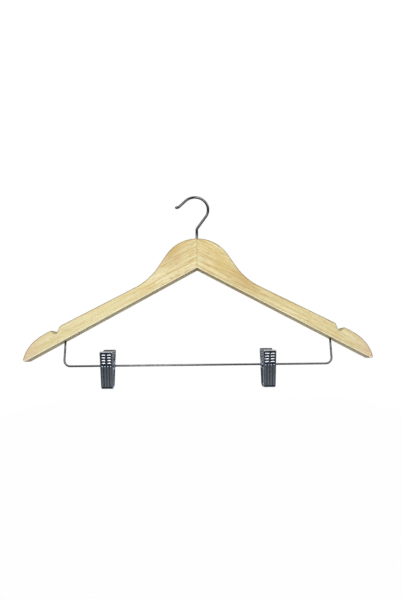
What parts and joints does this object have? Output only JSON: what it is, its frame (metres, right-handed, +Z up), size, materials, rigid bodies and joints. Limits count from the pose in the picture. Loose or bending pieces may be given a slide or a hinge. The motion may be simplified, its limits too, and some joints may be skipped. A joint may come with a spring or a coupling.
{
  "type": "clip hanger",
  "caption": "Flat wooden clothes hanger with a swivel hook, shoulder notches and a steel trouser bar that carries sliding, sprung metal clips.",
  "frame": {"origin": "on the hook's swivel axis, level with the inside top of the bow, where the hanger rests on a rail", "axes": "+Z up along the hook's shank, +X to the right along the trouser bar seen from the front, -Y towards the viewer"},
  "size_m": [0.445, 0.0252, 0.263],
  "materials": {
    "wood": "clear satin lacquer over pale wood",
    "hook_steel": "bright plated wire",
    "bar_steel": "bright plated wire",
    "clip_steel": "bright plated pressed sheet",
    "spring_steel": "drawn spring wire"
  },
  "bodies": {
    "hook": {"hook": "hook_steel"},
    "frame": {"left_arm": "wood", "right_arm": "wood", "hook_washer": "bar_steel", "trouser_bar": "bar_steel"},
    "left_clip_carrier": {"left_clip_eyelet": "clip_steel"},
    "left_clip_front": {"left_clip_front_jaw": "clip_steel", "left_clip_spring": "spring_steel"},
    "left_clip_rear": {"left_clip_rear_jaw": "clip_steel"},
    "right_clip_carrier": {"right_clip_eyelet": "clip_steel"},
    "right_clip_front": {"right_clip_front_jaw": "clip_steel", "right_clip_spring": "spring_steel"},
    "right_clip_rear": {"right_clip_rear_jaw": "clip_steel"}
  },
  "joints": [
    {"name": "hook_swivel", "type": "hinge", "parent": "hook", "child": "frame", "pos_m": [0, 0, -0.0618], "axis": [0, 0, 1], "continuous": true},
    {"name": "left_clip_slide", "type": "slide", "parent": "frame", "child": "left_clip_carrier", "axis": [1, 0, 0], "range_m": [-0.038, 0.106]},
    {"name": "left_clip_swing", "type": "hinge", "parent": "left_clip_carrier", "child": "left_clip_front", "pos_m": [-0.116, 0, -0.23033], "axis": [1, 0, 0], "continuous": true},
    {"name": "left_clip_open", "type": "hinge", "parent": "left_clip_front", "child": "left_clip_rear", "pos_m": [-0.116, 0, -0.23033], "axis": [1, 0, 0], "range_deg": [0, 30], "stiffness_Nm_per_rad": 0.06, "springref_deg": -57.3, "deforming": ["left_clip_spring"]},
    {"name": "right_clip_slide", "type": "slide", "parent": "frame", "child": "right_clip_carrier", "axis": [1, 0, 0], "range_m": [-0.08, 0.064]},
    {"name": "right_clip_swing", "type": "hinge", "parent": "right_clip_carrier", "child": "right_clip_front", "pos_m": [0.0901, 0, -0.23033], "axis": [1, 0, 0], "continuous": true},
    {"name": "right_clip_open", "type": "hinge", "parent": "right_clip_front", "child": "right_clip_rear", "pos_m": [0.0901, 0, -0.23033], "axis": [1, 0, 0], "range_deg": [0, 30], "stiffness_Nm_per_rad": 0.06, "springref_deg": -57.3, "deforming": ["right_clip_spring"]}
  ]
}
